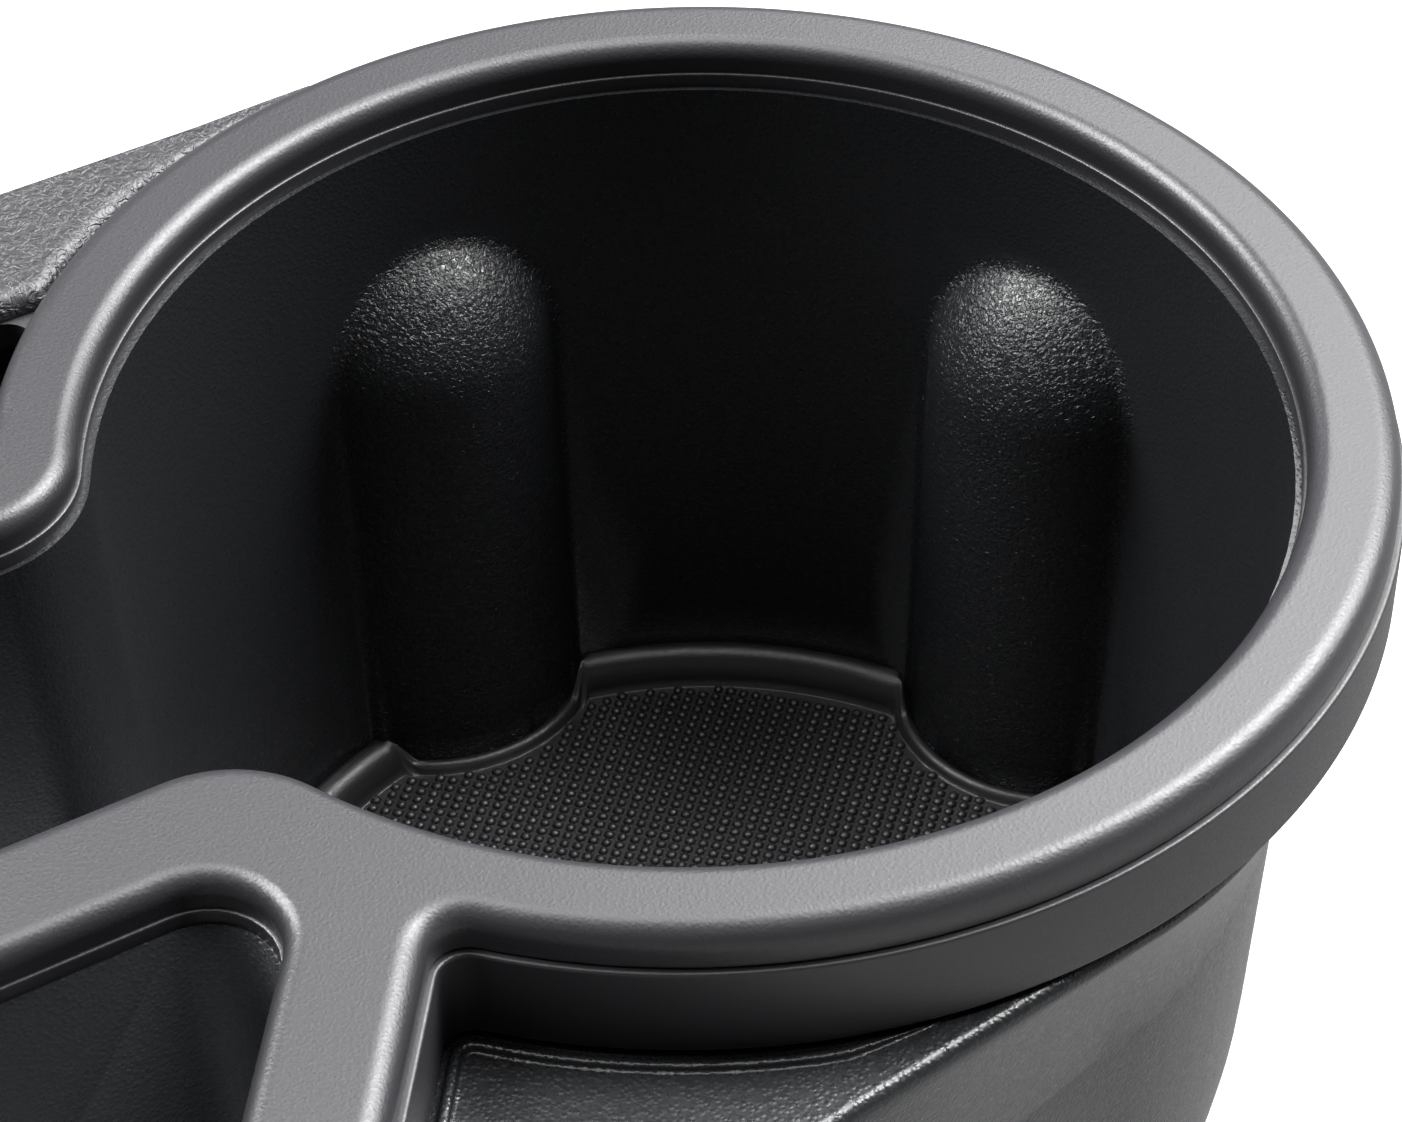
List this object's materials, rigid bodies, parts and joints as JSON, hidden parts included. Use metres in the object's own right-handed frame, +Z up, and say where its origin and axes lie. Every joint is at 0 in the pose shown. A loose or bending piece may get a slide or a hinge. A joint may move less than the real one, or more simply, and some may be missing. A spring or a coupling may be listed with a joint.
{
  "type": "car cup holder",
  "caption": "Twin car cup holder insert with ribbed round wells joined by a neck, a front pocket, a rear slot, rubber mats and a rolled rim over a skirted frame.",
  "frame": {"origin": "middle of the foot of the whole holder, on the surface it stands on", "axes": "+X along the line of the two cups towards the right one, +Y towards the rear rail, +Z up"},
  "size_m": [0.221, 0.1128, 0.0738],
  "materials": {
    "bezel_plastic": "satin, very fine grain",
    "frame_plastic": "satin skirt with a grained rail",
    "tub_plastic": "moulded grain",
    "mat_rubber": "woven pattern",
    "screw_steel": "dark plated"
  },
  "bodies": {
    "root": {"rim_bezel": "bezel_plastic", "support_frame": "frame_plastic", "well_tub": "tub_plastic", "right_cup_mat": "mat_rubber", "left_cup_mat": "mat_rubber", "tub_screws": "screw_steel"}
  },
  "joints": []
}
